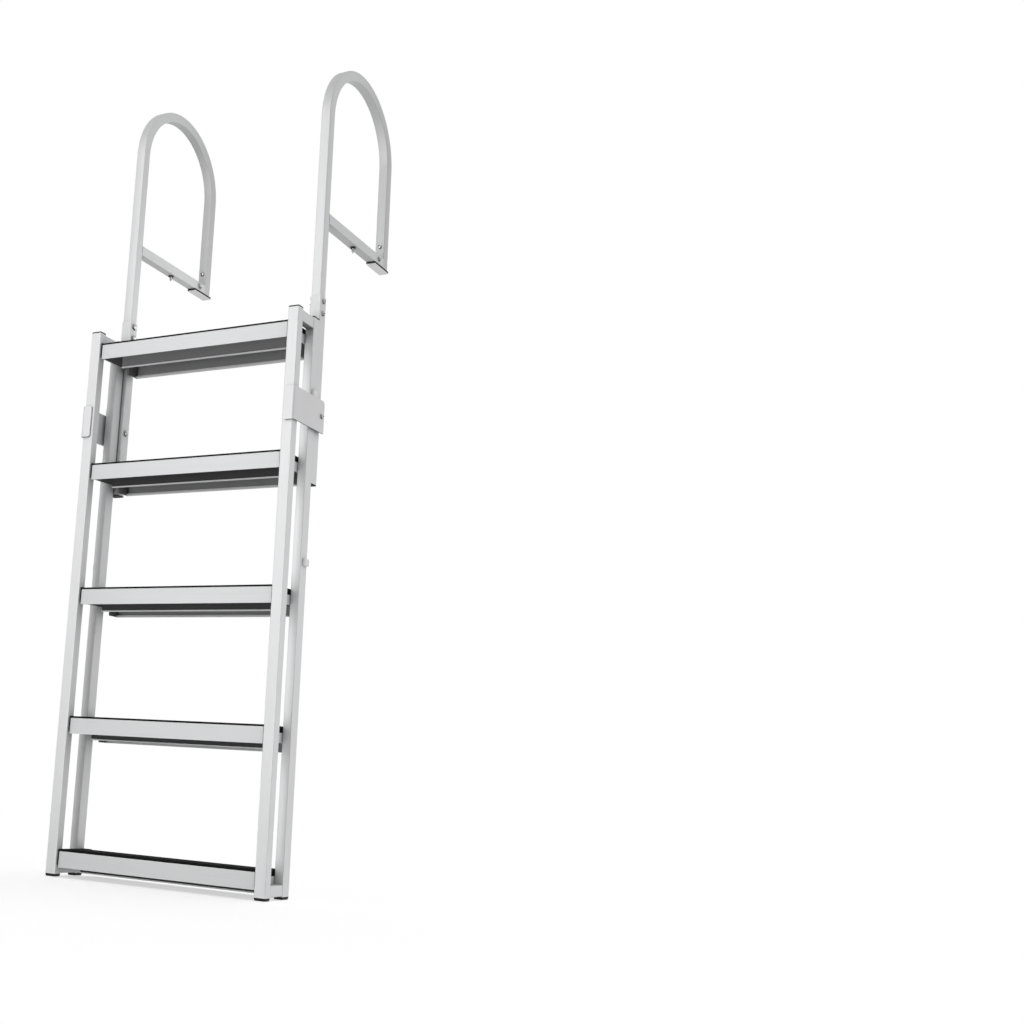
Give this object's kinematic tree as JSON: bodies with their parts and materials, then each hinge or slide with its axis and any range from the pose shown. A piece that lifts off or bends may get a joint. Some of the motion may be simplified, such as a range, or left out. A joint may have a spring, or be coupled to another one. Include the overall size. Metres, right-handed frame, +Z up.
{
  "type": "retractable dock ladder",
  "caption": "Slide-up aluminium swim ladder with wide rubber-topped treads, hooped handrails and guide brackets that hang it on the edge of a dock.",
  "frame": {"origin": "middle of the underside of the left-hand dock foot, which lies on the dock", "axes": "+X along the treads to the right-hand side as seen from the water, +Y back onto the dock, +Z up"},
  "size_m": [0.6019, 0.4847, 2.0151],
  "materials": {
    "rail_tube": "satin anodised",
    "post_tube": "satin anodised",
    "foot_plate": "satin",
    "foot_rubber": "matt",
    "black_plastic": "matt",
    "bracket_plate": "satin",
    "steel_bolt": "bright",
    "stile_tube": "satin anodised",
    "stop_block": "matt pale grey",
    "tread_aluminium": "satin",
    "tread_rubber": "ribbed matt"
  },
  "bodies": {
    "dock_frame": {"handrail_left": "rail_tube", "handrail_right": "rail_tube", "dock_tube_left": "rail_tube", "dock_tube_right": "rail_tube", "foot_plate_left": "foot_plate", "foot_plate_right": "foot_plate", "foot_pad_left": "foot_rubber", "foot_pad_right": "foot_rubber", "post_left": "post_tube", "post_right": "post_tube", "post_plug_left": "black_plastic", "post_plug_right": "black_plastic", "guide_bracket_left": "bracket_plate", "guide_bracket_right": "bracket_plate", "bracket_bolt_left": "steel_bolt", "bracket_bolt_right": "steel_bolt"},
    "ladder": {"front_stile_left": "stile_tube", "front_stile_right": "stile_tube", "rear_stile_left": "stile_tube", "rear_stile_right": "stile_tube", "stile_caps_left": "black_plastic", "stile_caps_right": "black_plastic", "rubber_feet_left": "foot_rubber", "rubber_feet_right": "foot_rubber", "top_spacer_left": "stile_tube", "top_spacer_right": "stile_tube", "bottom_spacer_left": "stile_tube", "bottom_spacer_right": "stile_tube", "stop_blocks_left": "stop_block", "stop_blocks_right": "stop_block", "packing_bars_left": "stile_tube", "packing_bars_right": "stile_tube", "tread_1": "tread_aluminium", "tread_mat_1": "tread_rubber", "tread_ends_1": "black_plastic", "tread_2": "tread_aluminium", "tread_mat_2": "tread_rubber", "tread_ends_2": "black_plastic", "tread_3": "tread_aluminium", "tread_mat_3": "tread_rubber", "tread_ends_3": "black_plastic", "tread_4": "tread_aluminium", "tread_mat_4": "tread_rubber", "tread_ends_4": "black_plastic", "tread_5": "tread_aluminium", "tread_mat_5": "tread_rubber", "tread_ends_5": "black_plastic"}
  },
  "joints": [
    {"name": "ladder_slide", "type": "slide", "parent": "dock_frame", "child": "ladder", "axis": [0, 0, 1], "range_m": [0, 0.3]}
  ]
}
